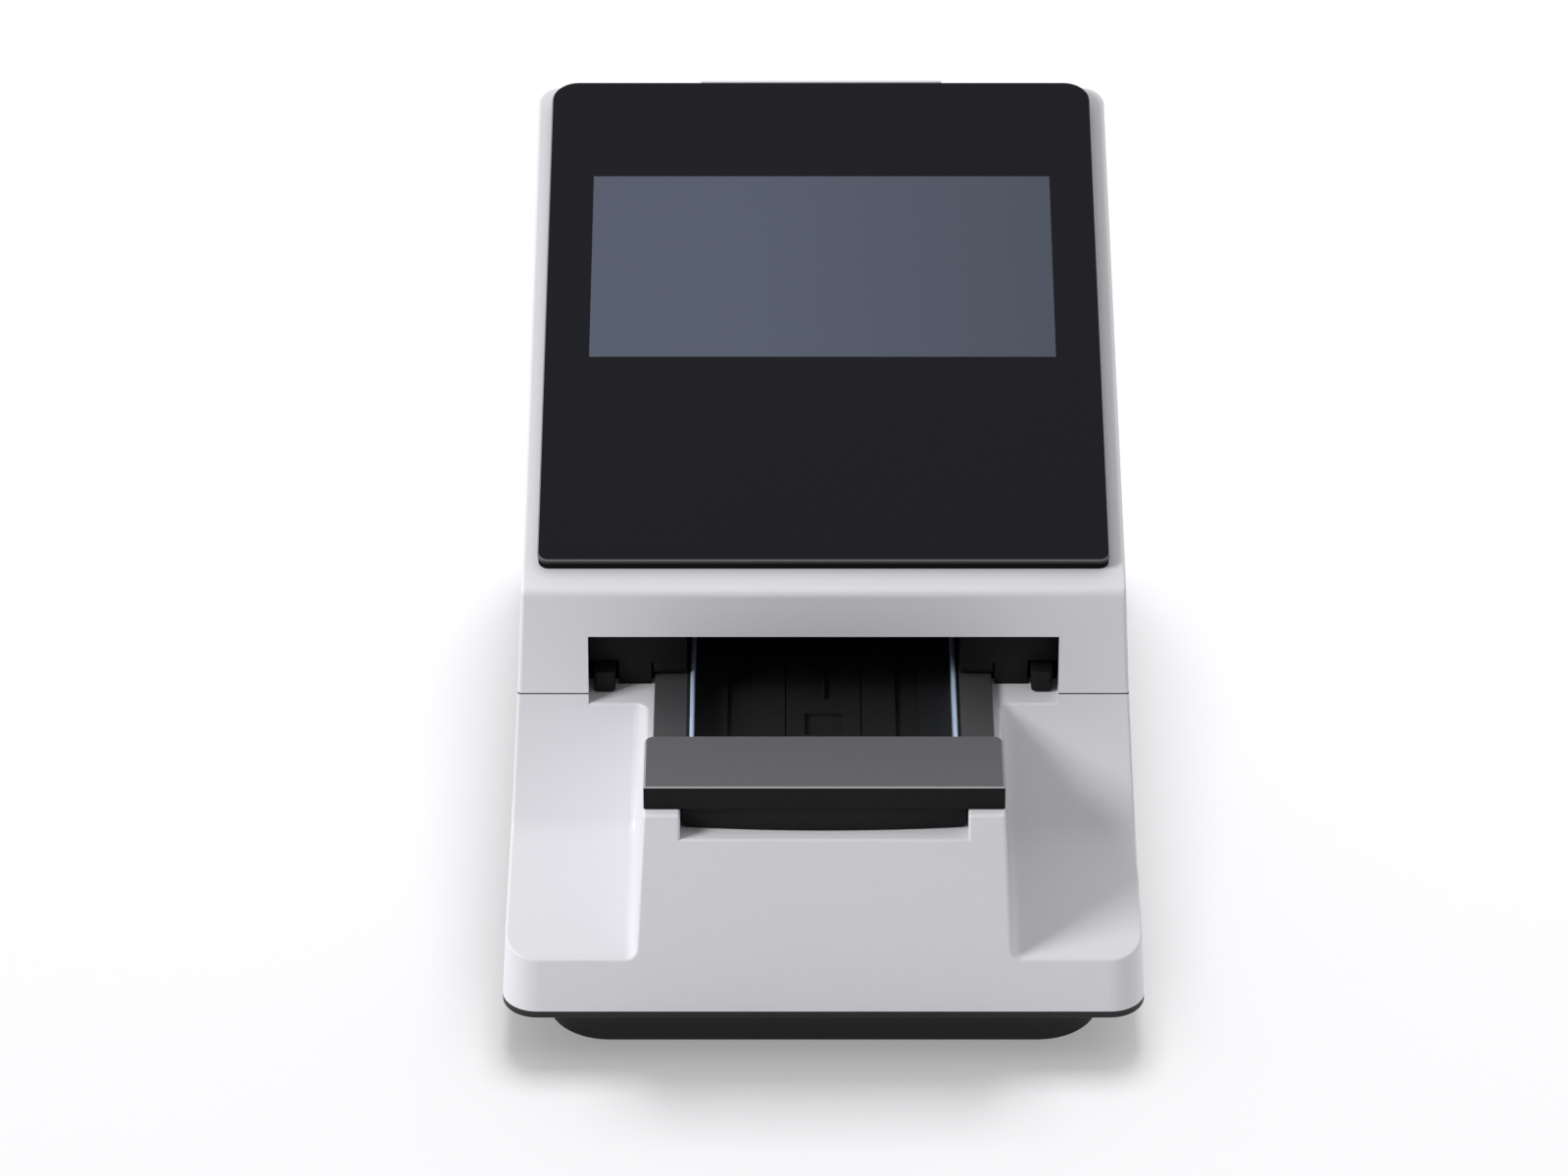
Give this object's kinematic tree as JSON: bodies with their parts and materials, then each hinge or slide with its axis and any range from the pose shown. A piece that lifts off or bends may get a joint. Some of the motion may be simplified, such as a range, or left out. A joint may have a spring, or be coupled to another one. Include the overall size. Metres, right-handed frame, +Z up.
{
  "type": "urine analyzer",
  "caption": "Desktop urine test strip analyzer with a sliding strip tray, a sloped display panel, a travelling reading head and a receipt printer under a hinged rear cover.",
  "frame": {"origin": "middle of the footprint, on the surface that the feet stand on", "axes": "+X to the right seen from the front, +Y from the drawer towards the rear, +Z up"},
  "size_m": [0.206, 0.3018, 0.1966],
  "materials": {
    "black_glass": "polished, printed black on the back",
    "black_plastic": "fine texture, moulded",
    "brass": "turned",
    "chip": "moulded epoxy",
    "circuit_board": "solder mask",
    "clear_glass": "polished",
    "dark_handle": "fine satin, moulded",
    "display": "dark panel, switched off",
    "gear_plastic": "moulded acetal",
    "graphite_plastic": "satin, moulded ABS",
    "lens_glass": "polished",
    "motor_can": "zinc-plated",
    "paper": "thermal paper",
    "polished_steel": "polished",
    "reference_white": "matt reference white",
    "ribbon_film": "flat film cable",
    "rubber_black": "moulded",
    "socket_shell": "tinned shell",
    "steel": "brushed sheet",
    "tape": "foam tape",
    "white_plastic": "fine satin, moulded ABS"
  },
  "bodies": {
    "housing": {"lower_housing": "white_plastic", "upper_housing": "white_plastic", "base_pan": "graphite_plastic", "rubber_feet": "rubber_black", "case_screws": "steel", "glass_tape": "tape", "front_glass": "black_glass", "display_window": "clear_glass", "lcd_module": "display", "display_bracket": "steel", "display_screws": "steel", "display_ribbon": "ribbon_film", "chassis_plate": "steel", "board_standoffs": "brass", "main_board": "circuit_board", "board_chips": "chip", "lan_jack": "socket_shell", "usb_ports": "socket_shell", "serial_port": "socket_shell", "clock_battery": "polished_steel", "power_board": "circuit_board", "power_parts": "chip", "dc_inlet": "black_plastic", "board_screws": "steel", "rear_panel": "black_plastic", "switch_body": "black_plastic", "drawer_guide": "black_plastic", "opening_bezel": "black_plastic", "feed_motor": "motor_can", "feed_belt": "rubber_black", "optics_frame": "steel", "guide_shafts": "polished_steel", "head_motor": "motor_can", "head_belt": "rubber_black", "paper_bay": "black_plastic", "print_head": "socket_shell", "gear_plate": "steel", "printer_motor": "motor_can"},
    "drawer": {"drawer_handle": "dark_handle", "drawer_arms": "black_plastic", "strip_tray": "black_plastic", "tray_rails": "polished_steel", "drawer_front": "black_plastic", "reference_plate": "reference_white"},
    "pusher": {"strip_pusher": "black_plastic"},
    "feed_drive": {"feed_drive_pulley": "gear_plastic"},
    "feed_idler": {"feed_idler_pulley": "gear_plastic"},
    "head": {"reading_head": "black_plastic", "head_lens": "lens_glass", "head_board": "circuit_board"},
    "head_drive": {"head_drive_pulley": "gear_plastic"},
    "head_idler": {"head_idler_pulley": "gear_plastic"},
    "platen": {"platen_roller": "rubber_black", "platen_gear": "gear_plastic"},
    "idler": {"idler_gear": "gear_plastic"},
    "pinion": {"motor_pinion": "brass"},
    "roll": {"paper_roll": "paper"},
    "cover": {"printer_cover": "white_plastic"},
    "switch": {"switch_rocker": "black_plastic"}
  },
  "joints": [
    {"name": "drawer_slide", "type": "slide", "parent": "housing", "child": "drawer", "axis": [0, -1, 0], "range_m": [0, 0.11]},
    {"name": "pusher_slide", "type": "slide", "parent": "housing", "child": "pusher", "axis": [0, 1, 0], "range_m": [0, 0.04]},
    {"name": "feed_drive_spin", "type": "hinge", "parent": "housing", "child": "feed_drive", "pos_m": [0.0843, 0.06408, 0.075], "axis": [1, 0, 0], "range_deg": [-360, 0]},
    {"name": "feed_idler_spin", "type": "hinge", "parent": "housing", "child": "feed_idler", "pos_m": [0.0843, -0.03892, 0.075], "axis": [1, 0, 0], "range_deg": [-360, 0]},
    {"name": "head_slide", "type": "slide", "parent": "housing", "child": "head", "axis": [1, 0, 0], "range_m": [-0.035, 0.035]},
    {"name": "head_drive_spin", "type": "hinge", "parent": "housing", "child": "head_drive", "pos_m": [-0.078, 0.01208, 0.1063], "axis": [0, 0, 1], "range_deg": [-310, 310]},
    {"name": "head_idler_spin", "type": "hinge", "parent": "housing", "child": "head_idler", "pos_m": [0.078, 0.01208, 0.1063], "axis": [0, 0, 1], "range_deg": [-310, 310]},
    {"name": "platen_spin", "type": "hinge", "parent": "housing", "child": "platen", "pos_m": [0, 0.14042, 0.1749], "axis": [1, 0, 0], "continuous": true},
    {"name": "idler_spin", "type": "hinge", "parent": "housing", "child": "idler", "pos_m": [-0.036, 0.13352, 0.16295], "axis": [1, 0, 0], "continuous": true},
    {"name": "pinion_spin", "type": "hinge", "parent": "housing", "child": "pinion", "pos_m": [-0.036, 0.12722, 0.15204], "axis": [1, 0, 0], "continuous": true},
    {"name": "roll_spin", "type": "hinge", "parent": "housing", "child": "roll", "pos_m": [0, 0.11693, 0.1409], "axis": [1, 0, 0], "continuous": true},
    {"name": "cover_hinge", "type": "hinge", "parent": "housing", "child": "cover", "pos_m": [0, 0.14872, 0.1208], "axis": [-1, 0, 0], "range_deg": [0, 90]},
    {"name": "switch_rock", "type": "hinge", "parent": "housing", "child": "switch", "pos_m": [-0.0415, 0.14392, 0.0436], "axis": [1, 0, 0], "range_deg": [0, 18]}
  ],
  "couplings": [
    {"joint": "feed_drive_spin", "follows": "pusher_slide", "rad_per_m": -153.85},
    {"joint": "feed_idler_spin", "follows": "pusher_slide", "rad_per_m": -153.85},
    {"joint": "head_drive_spin", "follows": "head_slide", "rad_per_m": 153.85},
    {"joint": "head_idler_spin", "follows": "head_slide", "rad_per_m": 153.85},
    {"joint": "idler_spin", "follows": "platen_spin", "ratio": -0.53333},
    {"joint": "pinion_spin", "follows": "platen_spin", "ratio": 1.3333}
  ]
}
